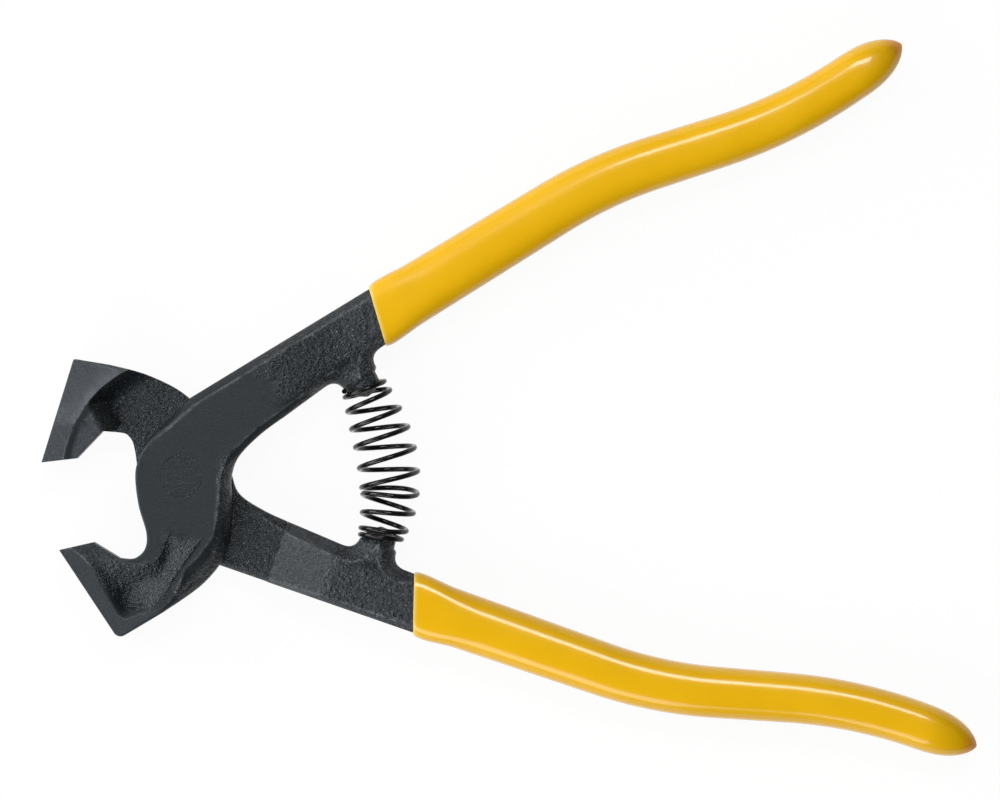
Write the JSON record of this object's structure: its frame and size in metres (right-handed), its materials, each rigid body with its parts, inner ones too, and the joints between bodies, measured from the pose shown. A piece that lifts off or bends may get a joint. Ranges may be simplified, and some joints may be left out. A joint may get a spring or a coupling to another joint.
{
  "type": "tile nippers",
  "caption": "Hand nippers for trimming wall and floor tiles: lapped forged levers, carbide-tipped jaws, barrel return spring and dipped grips.",
  "frame": {"origin": "centre of the pivot rivet's lower end, on the plane the tool lies on", "axes": "+X midway between the open handles towards their ends, +Y to the front lever's handle, +Z along the rivet away from the plane it lies on"},
  "size_m": [0.1843, 0.1479, 0.015],
  "materials": {
    "forging_black": "forged steel under thin satin black paint, rough as forged beside smooth ground faces",
    "carbide_grey": "ground tungsten carbide, dark grey, fine grinding lines",
    "rivet_black": "steel rivet ground flush and painted black",
    "spring_black": "glossy black spring wire",
    "vinyl_yellow": "glossy dipped vinyl, warm yellow"
  },
  "bodies": {
    "rear_half": {"rear_lever": "forging_black", "rear_carbide_tip": "carbide_grey", "rear_grip": "vinyl_yellow", "pivot_rivet": "rivet_black", "return_spring": "spring_black"},
    "front_half": {"front_lever": "forging_black", "front_carbide_tip": "carbide_grey", "front_grip": "vinyl_yellow"}
  },
  "joints": [
    {"name": "pivot", "type": "hinge", "parent": "rear_half", "child": "front_half", "pos_m": [0, 0, 0.0075], "axis": [0, 0, -1], "range_deg": [0, 36.3], "stiffness_Nm_per_rad": 3.2, "deforming": ["return_spring"]}
  ]
}
